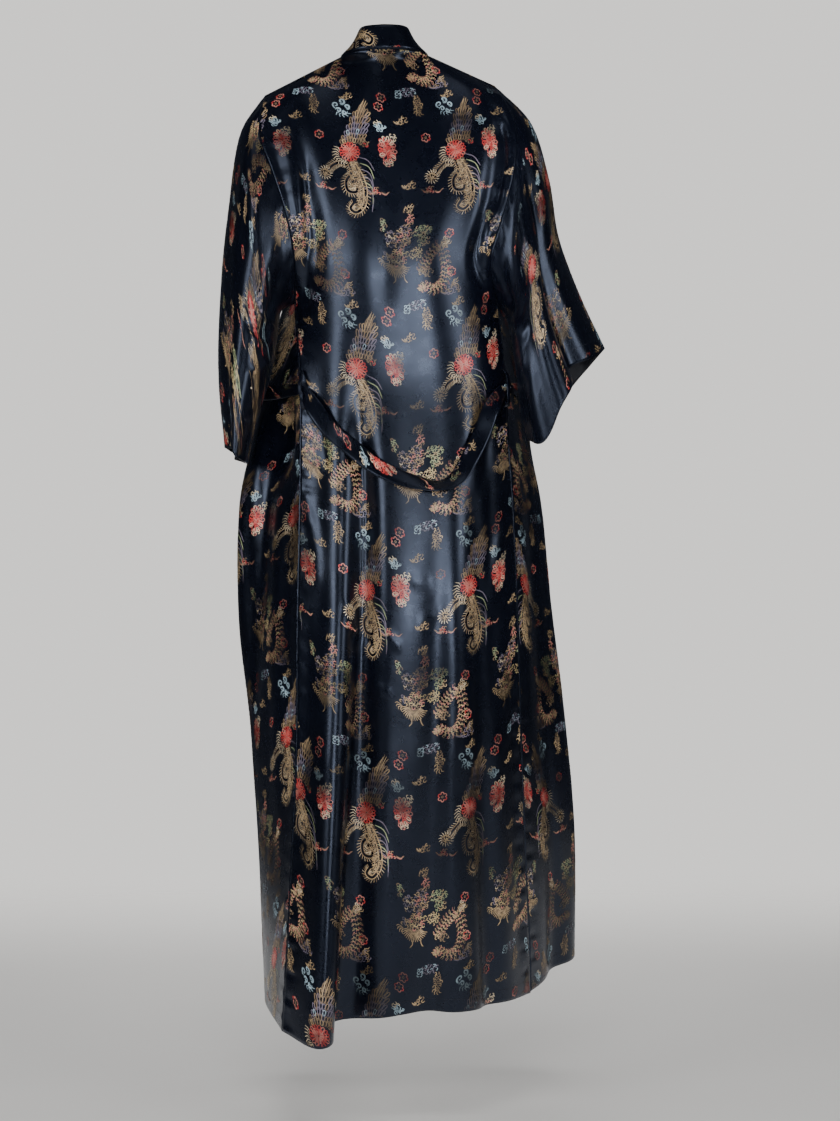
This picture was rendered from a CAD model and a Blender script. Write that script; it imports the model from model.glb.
"""A long satin brocade kimono robe, worn open and seen from behind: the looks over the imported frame.

Sizes are millimetres until a mesh is made. +X is the wearer's left, +Y is behind the wearer and +Z is up. The
origin is the nape. Each sewn piece is a thin closed shell on the form of its solid, with its creases. The
brocade is woven figures: ribbons of thread drawn in the cloth's flat coordinates and laid on its surface.
"""

import math

import bpy
import numpy as np
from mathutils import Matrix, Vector


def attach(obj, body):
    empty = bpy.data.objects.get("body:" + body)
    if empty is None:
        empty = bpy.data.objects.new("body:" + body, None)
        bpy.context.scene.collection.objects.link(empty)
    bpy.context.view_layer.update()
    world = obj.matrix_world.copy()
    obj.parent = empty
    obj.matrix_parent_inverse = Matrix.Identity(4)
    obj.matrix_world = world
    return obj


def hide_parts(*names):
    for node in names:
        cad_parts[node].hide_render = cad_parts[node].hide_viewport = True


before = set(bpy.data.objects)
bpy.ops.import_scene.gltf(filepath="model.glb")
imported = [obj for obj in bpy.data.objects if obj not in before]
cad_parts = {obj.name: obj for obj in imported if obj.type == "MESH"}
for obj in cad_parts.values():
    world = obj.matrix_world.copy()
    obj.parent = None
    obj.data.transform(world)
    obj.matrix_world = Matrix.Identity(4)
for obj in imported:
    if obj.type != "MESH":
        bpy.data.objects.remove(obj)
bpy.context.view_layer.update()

MM = 0.001

# ---- Driving dimensions ----
CLOTH = 0.9  # thickness of a shell
UNDERARM_DROP = 354
BAND_THICKNESS = 2.6
BAND_GAP = -0.7  # the band closes a little over the cloth's raw edge
BAND_WIDTH_FRONT = 46
BAND_WIDTH_NAPE = 36
BELT_WIDTH = 25
BELT_THICKNESS = 2.4
BELT_CLEARANCE = 6
LOOP_WIDTH = 5
LOOP_THICKNESS = 1.6
THREAD_LIFT = 0.35  # how far the brocade's threads stand over the cloth

# Cells of the shells' grids.
CELLS_PER_YOKE_ROW = 10
CELLS_PER_SKIRT_ROW = 23
CELLS_PER_BACK_STATION = 22
CELLS_PER_FRONT_STATION = 26
SLEEVE_ROW_CELLS = 84
BAND_CELLS = 8


def table(columns, rows):
    """Rows as dictionaries with the columns' names."""
    return [dict(zip(columns.split(), row)) for row in rows]


def tables(columns, **named_rows):
    """A table for each name, all with the same columns."""
    return {name: table(columns, rows) for name, rows in named_rows.items()}


def lerp(a, b, share):
    return a + (b - a) * share


def smooth(value, low, high):
    """Smooth step from 0 at low to 1 at high."""
    share = np.clip((value - low) / (high - low), 0, 1)
    return share * share * (3 - 2 * share)


def unit(vectors):
    length = np.linalg.norm(vectors, axis=-1, keepdims=True)
    return vectors / np.maximum(length, 1e-9)


# ---- The form: the solids' own named sizes, but for one in FRONT ----
NAPE_Y, NAPE_Z = 52, 3
NECK = {"left": np.array([62.0, 10, 0]), "right": np.array([-62.0, 10, 2])}
TIP = {"left": np.array([172.0, -8, -52]), "right": np.array([-158.0, -8, -38])}

# The armholes, from the shoulder tip (fall 0) to the underarm (fall 1), on the back and on the front.
ARMHOLE = table(
    "fall backLX backRX backY frontLX frontRX frontY",
    [
        [0.0, 172, -158, -8, 172, -158, -8],
        [0.08, 175, -170, 26, 176, -171, -36],
        [0.22, 176, -187, 48, 178, -184, -58],
        [0.4, 157, -185, 63, 166, -184, -72],
        [0.62, 136, -168, 70, 150, -174, -70],
        [0.82, 126, -150, 60, 140, -164, -40],
        [1.0, 127, -161, 25, 127, -161, 25],
    ],
)

# How far the yoke has come round from the shoulder line to the underarm section, at the same falls.
YOKE = table(
    "shoulder neck nape outAcross outTurn chestAcross chestTurn edgeX edgeTurn",
    [
        [0.0, 0.0, 0.0, 0.67, 0.0, 0.33, 0.0, 62, 0.0],
        [0.42, 0.22, 0.12, 0.67, 0.44, 0.33, 0.47, 64, 0.34],
        [0.72, 0.48, 0.36, 0.68, 0.74, 0.34, 0.83, 64, 0.66],
        [0.93, 0.74, 0.66, 0.72, 0.9, 0.38, 0.98, 62, 0.88],
        [1.04, 0.93, 0.9, 0.8, 0.9, 0.46, 1.04, 58, 0.98],
        [1.06, 1.02, 1.02, 0.92, 0.7, 0.62, 1.02, 56, 1.0],
    ],
)
YOKE_DEPTH_FRONT = -92
EDGE_DEPTH_FRONT = -112

# The back below the underarms: the side seams and the depth (Y) of the cloth between them.
BACK_STATIONS = [0, 0.16, 0.33, 0.52, 0.71, 0.86, 1]
BACK = table(
    "drop seamLX seamLY lobeY leftY centreY rightY flankY seamRX seamRY",
    [
        [354, 127, 25, 72, 90, 95, 92, 72, -161, 25],
        [465, 118, 52, 76, 87, 90, 88, 72, -172, 40],
        [560, 117, 62, 86, 95, 98, 97, 78, -176, 44],
        [635, 117, 70, 96, 104, 107, 106, 84, -181, 45],
        [805, 120, 86, 120, 118, 119, 118, 88, -189, 42],
        [975, 121, 98, 140, 120, 114, 114, 80, -194, 30],
        [1145, 128, 112, 162, 122, 106, 106, 66, -201, 5],
        [1260, 134, 122, 176, 122, 102, 100, 55, -207, -18],
        [1360, 140, 130, 188, 120, 100, 96, 48, -211, -35],
    ],
)
DEPTHS = ["seamLY", "lobeY", "leftY", "centreY", "rightY", "flankY", "seamRY"]

# The open fronts at the same levels: the side's fullest point, the front's fullest point and the free edge.
# The left side's first outX is 7 mm over the solid's, so that no light shows beside the sleeve.
FRONT = tables(
    "outX outY chestX chestY edgeX edgeY",
    left=[
        [147, -40, 114, -86, 54, -112],
        [183, -62, 138, -112, 62, -126],
        [196, -76, 154, -130, 70, -136],
        [206, -52, 160, -136, 76, -143],
        [207, -50, 165, -150, 84, -158],
        [195, -52, 166, -168, 90, -175],
        [184, -50, 168, -188, 97, -193],
        [179, -48, 169, -200, 100, -206],
        [175, -48, 170, -208, 103, -216],
    ],
    right=[
        [-173, -30, -140, -88, -60, -112],
        [-197, -72, -160, -114, -74, -128],
        [-212, -78, -176, -128, -86, -140],
        [-227, -58, -186, -138, -95, -148],
        [-244, -72, -202, -158, -110, -168],
        [-264, -96, -222, -184, -126, -192],
        [-280, -124, -240, -214, -142, -220],
        [-283, -146, -250, -236, -150, -240],
        [-283, -160, -252, -250, -156, -252],
    ],
)

# Drop of the hem under the nape, round the robe.
HEM = {
    "back": [1372, 1386, 1364, 1353, 1352, 1351, 1348],
    "left": [1340, 1345, 1358, 1372],
    "right": [1304, 1304, 1314, 1346],
}

# The sleeves' sections from the shoulder to the cuff: the fold over the arm (out), the fold under it (in),
# and half the depth from front to back.
SLEEVE = tables(
    "along outX outY outZ inX inY inZ deep",
    left=[
        [0.18, 204, 4, -104, 147, 30, -366, 70],
        [0.38, 223, 6, -220, 152, 36, -402, 74],
        [0.58, 233, 12, -325, 160, 38, -450, 78],
        [0.8, 236, 22, -450, 178, 46, -517, 80],
        [1.0, 226, 30, -561, 194, 50, -584, 80],
    ],
    right=[
        [0.18, -209, 0, -92, -175, 22, -374, 68],
        [0.38, -236, 0, -175, -182, 44, -412, 72],
        [0.58, -250, -4, -257, -188, 58, -462, 76],
        [0.8, -280, -10, -338, -192, 62, -508, 80],
        [1.0, -317, -14, -416, -200, 64, -552, 84],
    ],
)

# The largest folds, from (row, place) to (row, place). Rows: 0 shoulder, 6 underarm, 14 hem.
FOLDS = tables(
    "topRow topPlace endRow endPlace width topDepth endDepth",
    back=[
        [6.5, 1.75, 14, 1.85, 0.34, -5, -48],
        [9, 3.6, 14, 3.3, 0.3, -2, -12],
        [8, 4.7, 14, 4.9, 0.35, -3, -14],
        [1, 0.9, 6, 0.55, 0.3, -3, -12],
        [1, 5.4, 6, 5.5, 0.25, -3, -12],
    ],
    left=[
        [7.0, 2.8, 11.2, 2.12, 0.2, -20, -12],
        [7.0, 2.5, 11.2, 1.82, 0.2, 10, 6],
        [7, 1.5, 14, 1.55, 0.22, -4, -22],
        [8, 0.6, 14, 0.65, 0.2, -2, -14],
    ],
    right=[
        [8, 2.5, 14, 2.45, 0.2, -4, -16],
        [7, 1.5, 14, 1.5, 0.22, -4, -24],
        [8, 0.6, 14, 0.6, 0.2, -2, -14],
    ],
)

# Folds along the sleeves: the angle round the arm in degrees (0 over the arm, 90 behind it, 180 under it).
SLEEVE_FOLDS = tables(
    "angle width topDepth cuffDepth reach",
    left=[[62, 20, -2, -10, 0], [250, 24, -2, -14, 0]],
    right=[[66, 18, -3, -26, -14], [100, 20, 2, 12, 0], [132, 24, 0, 2, 26], [245, 24, -2, -16, 0]],
)

YOKE_ROWS = len(ARMHOLE) - 1
ALL_ROWS = YOKE_ROWS + len(BACK) - 1
YOKE_CELLS = YOKE_ROWS * CELLS_PER_YOKE_ROW
ROW_CELLS = YOKE_CELLS + (ALL_ROWS - YOKE_ROWS) * CELLS_PER_SKIRT_ROW
ROWS = np.concatenate(
    [
        np.arange(YOKE_CELLS) / CELLS_PER_YOKE_ROW,
        YOKE_ROWS + np.arange(ROW_CELLS - YOKE_CELLS + 1) / CELLS_PER_SKIRT_ROW,
    ]
)
TURNS = {"back": 1, "left": 1, "right": -1}  # 1 where down x across points out of the cloth
SIDES = ("left", "right")


def spline(points, shares):
    """Centripetal Catmull-Rom curve through points, at shares of the way counted in points."""
    points = np.asarray(points, float)
    last = len(points) - 1
    padded = np.vstack([2 * points[0] - points[1], points, 2 * points[-1] - points[-2]])
    place = np.clip(np.asarray(shares, float) * last, 0, last)
    k = np.minimum(place.astype(int), last - 1)
    w = (place - k)[:, None]
    p0, p1, p2, p3 = (padded[k + n] for n in range(4))
    pairs = ((p0, p1), (p1, p2), (p2, p3))
    d0, d1, d2 = (np.maximum(np.linalg.norm(b - a, axis=1, keepdims=True), 1e-6) ** 0.5 for a, b in pairs)
    t1 = ((p1 - p0) / d0 - (p2 - p0) / (d0 + d1) + (p2 - p1) / d1) * d1
    t2 = ((p2 - p1) / d1 - (p3 - p1) / (d1 + d2) + (p3 - p2) / d2) * d1
    return p1 + t1 * w + (3 * (p2 - p1) - 2 * t1 - t2) * w**2 + (2 * (p1 - p2) + t1 + t2) * w**3


def skirt_z(row, hem_drop):
    share = (BACK[row]["drop"] - UNDERARM_DROP) / (BACK[-1]["drop"] - UNDERARM_DROP)
    return -lerp(UNDERARM_DROP, hem_drop, share)


def back_stations():
    """The back's stations, row by row, from the left seam to the right one."""
    nape = np.array([0.0, NAPE_Y, NAPE_Z])
    right_share = (BACK_STATIONS[5] - BACK_STATIONS[4]) / (1 - BACK_STATIONS[4])
    top = [
        TIP["left"],
        lerp(TIP["left"], NECK["left"], BACK_STATIONS[1] / BACK_STATIONS[2]),
        NECK["left"],
        nape,
        NECK["right"],
        lerp(NECK["right"], TIP["right"], right_share),
        TIP["right"],
    ]
    full = [BACK[0][name] for name in DEPTHS]
    turn = [None, "shoulder", "neck", "nape", "neck", "shoulder", None]
    rows = []
    for r in range(YOKE_ROWS):
        hole = ARMHOLE[r]
        line = []
        for k, share in enumerate(BACK_STATIONS):
            z = lerp(top[k][2], -UNDERARM_DROP, hole["fall"])
            if turn[k] is None:
                line.append([hole["backRX" if k else "backLX"], hole["backY"], z])
            else:
                x = lerp(hole["backLX"], hole["backRX"], share)
                line.append([x, lerp(top[k][1], full[k], YOKE[r][turn[k]]), z])
        rows.append(line)
    for r, row in enumerate(BACK):
        xs = [lerp(row["seamLX"], row["seamRX"], share) for share in BACK_STATIONS]
        zs = [skirt_z(r, hem) for hem in HEM["back"]]
        rows.append([[x, row[depth], z] for x, depth, z in zip(xs, DEPTHS, zs)])
    return np.array(rows, float)


def front_stations(side):
    """A front's stations, row by row: free edge, chest, side, seam."""
    sign = 1 if side == "left" else -1
    letter = side[0].upper()
    hole_x, seam_x, seam_y = f"front{letter}X", f"seam{letter}X", f"seam{letter}Y"
    neck, tip = NECK[side], TIP[side]
    rows = []
    for r in range(YOKE_ROWS):
        hole, yoke = ARMHOLE[r], YOKE[r]

        def at(across, turn, deepest):
            start = lerp(neck, tip, across)
            x = lerp(sign * yoke["edgeX"], hole[hole_x], across)
            return [x, lerp(start[1], deepest, turn), lerp(start[2], -UNDERARM_DROP, hole["fall"])]

        rows.append(
            [
                at(0, yoke["edgeTurn"], EDGE_DEPTH_FRONT),
                at(yoke["chestAcross"], yoke["chestTurn"], YOKE_DEPTH_FRONT),
                at(yoke["outAcross"], yoke["outTurn"], YOKE_DEPTH_FRONT),
                [hole[hole_x], hole["frontY"], lerp(tip[2], -UNDERARM_DROP, hole["fall"])],
            ]
        )
    for r, row in enumerate(FRONT[side]):
        hem = HEM[side]
        rows.append(
            [
                [row["edgeX"], row["edgeY"], skirt_z(r, hem[0])],
                [row["chestX"], row["chestY"], skirt_z(r, hem[1])],
                [row["outX"], row["outY"], skirt_z(r, hem[2])],
                [BACK[r][seam_x], BACK[r][seam_y], skirt_z(r, hem[3])],
            ]
        )
    return np.array(rows, float)


def rib(points, is_seam):
    """One station from shoulder to hem. A seam's turns a corner at the underarm, so it is two curves."""
    if not is_seam:
        return spline(points, ROWS / ALL_ROWS)
    hole = spline(points[: YOKE_ROWS + 1], ROWS[ROWS <= YOKE_ROWS] / YOKE_ROWS)
    below = (ROWS[ROWS > YOKE_ROWS] - YOKE_ROWS) / (ALL_ROWS - YOKE_ROWS)
    return np.vstack([hole, spline(points[YOKE_ROWS:], below)])


def panel_grid(stations, cells_per_station, seams):
    count = stations.shape[1]
    ribs = np.stack([rib(stations[:, k], k in seams) for k in range(count)], axis=1)
    shares = np.linspace(0, 1, (count - 1) * cells_per_station + 1)
    return np.stack([spline(line, shares) for line in ribs])


def grid_normals(grid, turn, closed=False):
    if closed:
        across = np.roll(grid, -1, axis=1) - np.roll(grid, 1, axis=1)
    else:
        across = np.gradient(grid, axis=1)
    down = np.gradient(grid, axis=0)
    return unit(np.cross(down, across)) * turn


def fold_depth(folds, row, place):
    depth = np.zeros(np.broadcast(row, place).shape)
    for fold in folds:
        along = (row - fold["topRow"]) / (fold["endRow"] - fold["topRow"])
        fade = smooth(along, 0, 0.25)
        if fold["endRow"] < ALL_ROWS:
            fade = fade * (1 - smooth(along, 0.7, 1))
        share = np.clip(along, 0, 1)
        off = (place - lerp(fold["topPlace"], fold["endPlace"], share)) / fold["width"]
        depth = depth + fade * lerp(fold["topDepth"], fold["endDepth"], share) * np.exp(-off * off)
    return depth


STRAIGHT_ROWS = 0.6  # how far down a panel its first line's straightening is felt


def straighten_top(grid, targets):
    """Moves a panel's first line to its straight seam or neckline, and the lines under it less and less."""
    shift = targets - grid[0]
    fade = 1 - smooth(ROWS, 0, STRAIGHT_ROWS)
    grid += fade[:, None, None] * shift[None]


def back_top():
    """The back's first line: straight shoulder seams, and half an ellipse behind the neck."""
    place = np.arange(BACK_CELLS + 1) / CELLS_PER_BACK_STATION
    line = np.empty((len(place), 3))
    left, right = place <= 2, place >= 4
    line[left] = lerp(TIP["left"], NECK["left"], (place[left] / 2)[:, None])
    line[right] = lerp(NECK["right"], TIP["right"], ((place[right] - 4) / 2)[:, None])
    middle = ~(left | right)
    angle = (place[middle] - 2) / 2 * math.pi
    line[middle, 0] = NECK["left"][0] * np.cos(angle)
    line[middle, 1] = NECK["left"][1] + (NAPE_Y - NECK["left"][1]) * np.sin(angle)
    line[middle, 2] = lerp(NECK["left"][2], NECK["right"][2], angle / math.pi) + NAPE_Z * np.sin(angle)
    return line


BACK_CELLS = (len(BACK_STATIONS) - 1) * CELLS_PER_BACK_STATION
FRONT_CELLS = 3 * CELLS_PER_FRONT_STATION
CELLS = {"back": CELLS_PER_BACK_STATION, "left": CELLS_PER_FRONT_STATION, "right": CELLS_PER_FRONT_STATION}

body = {
    "back": panel_grid(back_stations(), CELLS_PER_BACK_STATION, (0, 6)),
    "left": panel_grid(front_stations("left"), CELLS_PER_FRONT_STATION, (3,)),
    "right": panel_grid(front_stations("right"), CELLS_PER_FRONT_STATION, (3,)),
}
straighten_top(body["back"], back_top())
for side in SIDES:
    shares = (np.arange(FRONT_CELLS + 1) / FRONT_CELLS)[:, None]
    straighten_top(body[side], lerp(NECK[side], TIP[side], shares))


def seam_fade(panel):
    """1 inside a panel and 0 at its seams, so that two sewn edges still meet."""
    place = np.arange(body[panel].shape[1]) / CELLS[panel]
    if panel == "back":
        return smooth(place, 0, 0.35) * (1 - smooth(place, 5.65, 6))
    return smooth(place, -0.4, 0.25) * (1 - smooth(place, 2.75, 3))


for panel in body:
    place = np.arange(body[panel].shape[1]) / CELLS[panel]
    depth = fold_depth(FOLDS[panel], ROWS[:, None], place[None]) * seam_fade(panel)
    body[panel] += depth[..., None] * grid_normals(body[panel], TURNS[panel])

# ---- Creases: soft troughs (depth under 0) and ridges, each a bent line over a panel seen from straight
# behind or in front, as (x, z) in millimetres at its start, middle and end ----
CREASES = tables(
    "x0 z0 x1 z1 x2 z2 width depth",
    back=[
        # under the neck and down the spine
        [-18, -74, -4, -220, 0, -400, 16, -2.2],
        [24, -30, 30, -120, 22, -230, 14, 1.6],
        [-46, -40, -52, -140, -40, -260, 15, -1.6],
        # the left armhole's slack: a ridge with a sharp inner edge, and the dip outside it
        [150, -110, 128, -160, 118, -300, 10, 5.0],
        [166, -130, 146, -210, 124, -330, 9, -6.0],
        [112, -140, 108, -260, 112, -400, 7, -3.0],
        # the right armhole's slack
        [-172, -78, -184, -130, -170, -230, 7, 4.0],
        [-158, -90, -170, -150, -150, -260, 8, -4.5],
        [-150, -210, -146, -290, -160, -370, 8, 3.0],
        # loose vertical folds over the waist and the seat
        [60, -330, 64, -520, 56, -760, 20, 1.8],
        [88, -420, 92, -620, 84, -900, 14, -2.0],
        [-24, -420, -30, -640, -36, -930, 26, 1.6],
        [-70, -460, -82, -700, -90, -1010, 20, -2.0],
        [-112, -430, -124, -620, -132, -840, 15, 2.2],
        [-146, -500, -152, -720, -160, -1000, 10, -2.6],
        # the skirt's folds down to the hem
        [50, -700, 62, -900, 84, -1060, 24, 2.6],
        [100, -760, 106, -1000, 118, -1340, 24, -2.4],
        [60, -900, 60, -1120, 62, -1380, 30, 1.4],
        [-6, -860, -8, -1100, -10, -1360, 30, -1.5],
        [-60, -900, -66, -1120, -70, -1360, 28, 1.5],
        [-112, -980, -118, -1160, -126, -1350, 16, -3.0],
        [-150, -900, -162, -1120, -172, -1350, 13, 2.8],
        [-182, -820, -190, -1050, -198, -1340, 9, -2.6],
        # short slack wrinkles across the seat
        [-2, -818, -13, -832, -27, -846, 4.5, 1.7],
        [-48, -812, -62, -800, -80, -794, 4.5, 1.4],
        [34, -800, 24, -826, 10, -846, 5, -1.6],
        [58, -770, 46, -800, 40, -834, 5, 1.5],
        [16, -886, 4, -900, -14, -908, 5, 1.3],
        [-34, -742, -50, -752, -70, -750, 6, -1.2],
        # short drag lines under the belt's ends and at the seams
        [104, -500, 88, -540, 76, -610, 7, -1.8],
        [-160, -520, -146, -560, -134, -640, 7, -1.8],
        [118, -620, 96, -690, 92, -770, 8, 2.0],
        [-176, -660, -158, -720, -150, -820, 8, 1.8],
    ],
    left=[
        [100, -60, 104, -200, 96, -360, 12, -2.5],
        [130, -120, 126, -240, 120, -380, 9, 2.6],
        [80, -300, 86, -520, 92, -820, 13, 2.4],
        [120, -420, 128, -640, 130, -980, 12, -3.2],
        [150, -520, 152, -800, 148, -1180, 10, 3.4],
        [112, -820, 116, -1050, 122, -1330, 11, -4.0],
        [176, -500, 186, -640, 186, -800, 7, 2.6],
        [196, -610, 194, -760, 184, -960, 6, -2.4],
        [184, -700, 192, -716, 200, -712, 4, -1.6],
        [182, -736, 190, -750, 202, -744, 4, 1.4],
        [184, -772, 192, -784, 204, -776, 4, -1.4],
    ],
    right=[
        [-100, -70, -106, -210, -98, -360, 12, -2.4],
        [-140, -130, -138, -250, -132, -380, 9, 2.4],
        [-92, -320, -104, -560, -118, -900, 13, 2.6],
        [-136, -430, -150, -680, -166, -1000, 11, -3.4],
        [-176, -480, -192, -720, -212, -1060, 10, 3.0],
        [-214, -520, -232, -740, -256, -1000, 8, -2.8],
        [-150, -900, -168, -1100, -186, -1290, 12, -3.6],
        [-228, -860, -250, -1080, -262, -1290, 9, 3.0],
    ],
)
CREASE_STEPS = 14
CREASE_ENDS = 0.22  # the share of a crease's length over which it fades in, and out


def crease_depth(grid, creases):
    depth = np.zeros(grid.shape[:2])
    for crease in creases:
        start, middle, end = ((crease[f"x{k}"], crease[f"z{k}"]) for k in range(3))
        path = spline([(*start, 0), (*middle, 0), (*end, 0)], np.linspace(0, 1, CREASE_STEPS))[:, :2]
        nearest = np.full(depth.shape, np.inf)
        share = np.zeros(depth.shape)
        for k in range(CREASE_STEPS - 1):
            step = path[k + 1] - path[k]
            to = grid[..., (0, 2)] - path[k]
            t = np.clip((to @ step) / (step @ step), 0, 1)
            off = np.linalg.norm(to - t[..., None] * step, axis=-1)
            closer = off < nearest
            nearest = np.where(closer, off, nearest)
            share = np.where(closer, (k + t) / (CREASE_STEPS - 1), share)
        fade = smooth(share, 0, CREASE_ENDS) * (1 - smooth(share, 1 - CREASE_ENDS, 1))
        depth += crease["depth"] * fade * np.exp(-((nearest / crease["width"]) ** 2))
    return depth


# Small waves along the sewn seams, where the thread holds the cloth a little shorter.
PUCKER_WIDTH = 16
PUCKER_INSET = 6  # from the edge to the middle of the waves
PUCKER_RISE = 8
PUCKERS = table("wave height", [[31, 0.55], [17.3, 0.35], [11.9, 0.2]])


def pucker_depth(distance, along):
    """The waves at a distance from a sewn edge, which is itself flat."""
    waves = sum(row["height"] * np.sin(2 * math.pi * along / row["wave"]) for row in PUCKERS)
    off = (distance - PUCKER_INSET) / PUCKER_WIDTH
    return waves * np.exp(-(off**2)) * smooth(distance, 0, PUCKER_RISE)


def run_length(grid, axis):
    """Distance travelled along the grid's lines, from its first line or column."""
    steps = np.linalg.norm(np.diff(grid, axis=axis), axis=-1)
    pad = [(0, 0), (0, 0)]
    pad[axis] = (1, 0)
    return np.pad(np.cumsum(steps, axis=axis), pad)


for panel, grid in body.items():
    across = run_length(grid, 1)
    down = run_length(grid, 0)
    width = across[:, -1:]
    depth = crease_depth(grid, CREASES[panel]) * seam_fade(panel)
    if panel == "back":
        depth += pucker_depth(across, down)
    depth += pucker_depth(width - across, down)
    grid += depth[..., None] * grid_normals(grid, TURNS[panel])

# ---- Sleeves ----
RING = 2 * YOKE_CELLS
RING_ANGLES = np.arange(RING) / RING * 2 * math.pi

# Creases of the sleeves: from (angle, along) to (angle, along), with a width in degrees.
SLEEVE_CREASES = tables(
    "angle0 along0 angle1 along1 width depth",
    left=[
        [30, 0.05, 48, 0.9, 13, -1.8],
        [50, 0.1, 70, 1.05, 12, 1.8],
        [92, 0.3, 96, 1.05, 15, -1.8],
        [122, 0.06, 118, 0.5, 12, 3.6],
        [146, 0.1, 132, 0.55, 10, -4.4],
        [160, 0.36, 104, 0.5, 8, 4.0],
        [156, 0.46, 96, 0.58, 7, -3.6],
        [160, 0.54, 118, 0.7, 9, 3.2],
        [96, 0.4, 132, 0.47, 6, -2.2],
        [138, 0.66, 150, 1.05, 12, 2.0],
        [318, 0.1, 300, 1.05, 10, -3.0],
        [285, 0.15, 276, 1.05, 10, 3.2],
        [222, 0.2, 214, 1.05, 9, -3.6],
        [200, 0.3, 240, 0.6, 8, 3.0],
    ],
    right=[
        [26, 0.08, 40, 1.05, 12, -2.0],
        [52, 0.15, 50, 1.05, 9, 2.6],
        [84, 0.1, 86, 1.05, 11, 2.4],
        [114, 0.08, 118, 1.05, 11, -3.6],
        [128, 0.05, 146, 0.7, 8, 4.2],
        [150, 0.1, 128, 0.45, 8, -4.6],
        [160, 0.25, 122, 0.55, 8, 3.6],
        [152, 0.5, 160, 1.05, 11, -2.4],
        [320, 0.1, 304, 1.05, 9, 3.0],
        [280, 0.12, 270, 1.05, 10, -3.4],
        [224, 0.2, 216, 1.05, 9, 3.2],
        [204, 0.3, 250, 0.62, 8, -3.0],
    ],
)


def sleeve_ring(section):
    over = np.array([section["outX"], section["outY"], section["outZ"]], float)
    under = np.array([section["inX"], section["inY"], section["inZ"]], float)
    ring = (over + under) / 2 + np.cos(RING_ANGLES)[:, None] * (over - under) / 2
    ring[:, 1] += section["deep"] * np.sin(RING_ANGLES)
    return ring


def armhole_ring(side):
    column = 0 if side == "left" else BACK_CELLS
    down = body["back"][: YOKE_CELLS + 1, column]
    up = body[side][1:YOKE_CELLS, FRONT_CELLS][::-1]
    return np.vstack([down, up])


def angle_gap(angle, centre):
    return (np.degrees(angle) - centre + 180) % 360 - 180


def sleeve_grid(side):
    sections = SLEEVE[side]
    rings = np.stack([armhole_ring(side)] + [sleeve_ring(section) for section in sections])
    stops = np.array([0] + [section["along"] for section in sections])
    t = np.linspace(0, 1, SLEEVE_ROW_CELLS + 1)
    places = np.interp(t, stops, np.arange(len(stops))) / (len(stops) - 1)
    grid = np.stack([spline(rings[:, i], places) for i in range(RING)], axis=1)
    ends = np.stack([spline(rings[:, i], [0.999, 1]) for i in range(RING)])
    down_sleeve = unit(ends[:, 1] - ends[:, 0])
    normals = grid_normals(grid, TURNS[side], True)
    t = t[:, None]
    for fold in SLEEVE_FOLDS[side]:
        shape = np.exp(-((angle_gap(RING_ANGLES, fold["angle"]) / fold["width"]) ** 2))[None]
        depth = lerp(fold["topDepth"], fold["cuffDepth"], t) * smooth(t, 0, 0.35) * shape
        grid += depth[..., None] * normals + (fold["reach"] * t * t * shape)[..., None] * down_sleeve
    depth = np.zeros(grid.shape[:2])
    for crease in SLEEVE_CREASES[side]:
        share = (t - crease["along0"]) / (crease["along1"] - crease["along0"])
        centre = lerp(crease["angle0"], crease["angle1"], np.clip(share, 0, 1))
        off = angle_gap(RING_ANGLES[None], centre) / crease["width"]
        fade = smooth(share, 0, 0.25)
        if crease["along1"] < 1:
            fade = fade * (1 - smooth(share, 0.8, 1))
        depth += crease["depth"] * fade * np.exp(-off * off)
    around = run_length(grid, 1)
    length = run_length(grid, 0)
    depth += pucker_depth(length, around)
    grid += depth[..., None] * grid_normals(grid, TURNS[side], True)
    return grid


sleeves = {side: sleeve_grid(side) for side in SIDES}

# ---- Normals, shared along each seam ----
normals = {panel: grid_normals(grid, TURNS[panel]) for panel, grid in body.items()}
sleeve_normals = {side: grid_normals(sleeves[side], TURNS[side], True) for side in SIDES}


def share_normals(*shared):
    total = unit(sum(shared))
    for part in shared:
        part[...] = total


for side in SIDES:
    column = 0 if side == "left" else BACK_CELLS
    along = unit(NECK[side] - TIP[side])
    up = unit(np.array([0.0, 0, 1]) - along * along[2])
    seam = 2 * CELLS_PER_BACK_STATION + 1
    normals["back"][0, slice(seam) if side == "left" else slice(-seam, None)] = up
    normals[side][0] = up
    share_normals(normals["back"][YOKE_CELLS + 1 :, column], normals[side][YOKE_CELLS + 1 :, FRONT_CELLS])
    share_normals(normals["back"][1:YOKE_CELLS, column], sleeve_normals[side][0, 1:YOKE_CELLS])
    share_normals(normals[side][1:YOKE_CELLS, FRONT_CELLS][::-1], sleeve_normals[side][0, YOKE_CELLS + 1 :])
    for j in (0, YOKE_CELLS):
        share_normals(normals["back"][j, column], normals[side][j, FRONT_CELLS], sleeve_normals[side][0, j])


# ---- Materials ----
def new_material(name, colour, roughness, **sockets):
    """A principled material. sockets are constants on the shader's own inputs, with _ for a space."""
    material = bpy.data.materials.new(name)
    material.use_nodes = True
    shader = material.node_tree.nodes["Principled BSDF"]
    shader.inputs["Base Color"].default_value = (*colour, 1)
    shader.inputs["Roughness"].default_value = roughness
    for socket, value in sockets.items():
        shader.inputs[socket.replace("_", " ")].default_value = value
    return material


def add_node(material, kind, **values):
    """A node. values are constants on its inputs, with _ for a space, or its own settings."""
    node = material.node_tree.nodes.new(kind)
    for name, value in values.items():
        socket = name.replace("_", " ")
        if socket in node.inputs:
            node.inputs[socket].default_value = value
        else:
            setattr(node, name, value)
    return node


def link(material, source, output, target, socket):
    material.node_tree.links.new(source.outputs[output], target.inputs[socket])


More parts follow.
